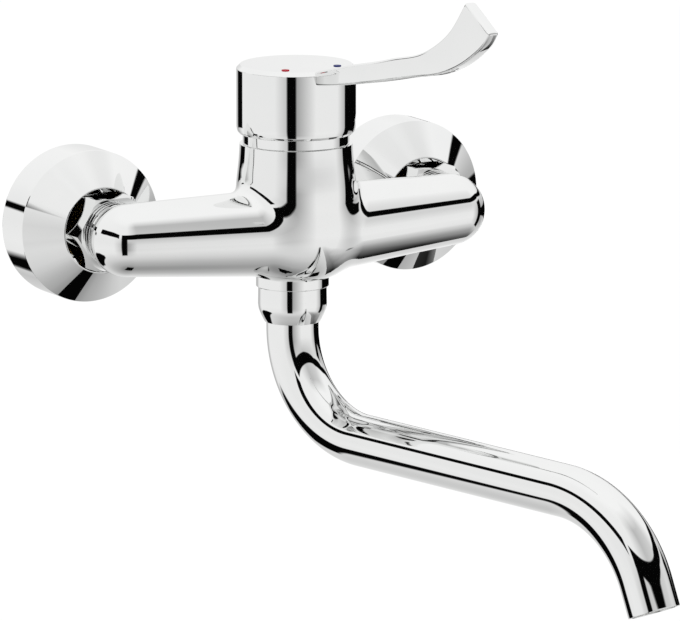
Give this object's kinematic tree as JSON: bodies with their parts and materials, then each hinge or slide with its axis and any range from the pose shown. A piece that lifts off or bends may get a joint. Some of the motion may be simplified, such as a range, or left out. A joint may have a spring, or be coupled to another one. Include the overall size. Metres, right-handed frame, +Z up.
{
  "type": "wall-mounted basin mixer tap",
  "caption": "Wall-mounted single-lever basin mixer: offset wall unions with covers, round body, elbow lever on a ceramic cartridge, swivelling S spout below.",
  "frame": {"origin": "midway between the two wall threads, in the plane of the finished wall", "axes": "+X to the right as seen by the user, +Y into the wall, +Z up; the user stands on the -Y side"},
  "size_m": [0.2126, 0.2682, 0.2472],
  "materials": {
    "chrome": "polished bright chrome on brass",
    "brass": "machined brass",
    "rubber": "moulded EPDM",
    "pom": "white acetal",
    "grey_plastic": "moulded cartridge plastic",
    "ceramic": "lapped alumina",
    "steel": "stainless steel",
    "red_enamel": "red insert",
    "blue_enamel": "blue insert"
  },
  "bodies": {
    "body": {"left_wall_union": "brass", "left_escutcheon": "chrome", "left_filter_washer": "rubber", "left_union_tail": "brass", "left_check_valve": "pom", "left_union_nut": "chrome", "right_wall_union": "brass", "right_escutcheon": "chrome", "right_filter_washer": "rubber", "right_union_tail": "brass", "right_check_valve": "pom", "right_union_nut": "chrome", "body_casting": "chrome", "cartridge_base": "grey_plastic", "outlet_port_seal": "rubber", "hot_port_seal": "rubber", "cold_port_seal": "rubber", "fixed_ceramic_disc": "ceramic", "cartridge_housing": "grey_plastic", "cartridge_ring_nut": "brass", "dome_ring": "chrome", "spout_cap_nut": "chrome", "spout_slide_ring": "pom"},
    "turning_spindle": {"cartridge_rotor": "grey_plastic", "pivot_pin": "steel"},
    "lever": {"lever_stem": "brass", "handle": "chrome", "hot_mark": "red_enamel", "cold_mark": "blue_enamel", "handle_grub_screw": "steel", "handle_screw_plug": "grey_plastic"},
    "sliding_disc": {"disc_carrier": "grey_plastic", "moving_ceramic_disc": "ceramic"},
    "spout": {"spout_spigot": "brass", "spout_upper_o_ring": "rubber", "spout_lower_o_ring": "rubber", "spout_tube": "chrome", "flow_straightener": "pom", "flow_straightener_seal": "rubber"}
  },
  "joints": [
    {"name": "handle_turn", "type": "hinge", "parent": "body", "child": "turning_spindle", "pos_m": [0, -0.0555, 0.03365], "axis": [0, 0, 1], "range_deg": [-50, 50]},
    {"name": "handle_lift", "type": "hinge", "parent": "turning_spindle", "child": "lever", "pos_m": [0, -0.0555, 0.03365], "axis": [-1, 0, 0], "range_deg": [0, 25]},
    {"name": "disc_slide", "type": "slide", "parent": "turning_spindle", "child": "sliding_disc", "axis": [0, -1, 0], "range_m": [0, 0.0039]},
    {"name": "spout_swivel", "type": "hinge", "parent": "body", "child": "spout", "pos_m": [0, -0.0522, -0.02435], "axis": [0, 0, 1], "range_deg": [-92, 58]}
  ],
  "couplings": [
    {"joint": "disc_slide", "follows": "handle_lift", "m_per_rad": 0.0089288}
  ]
}
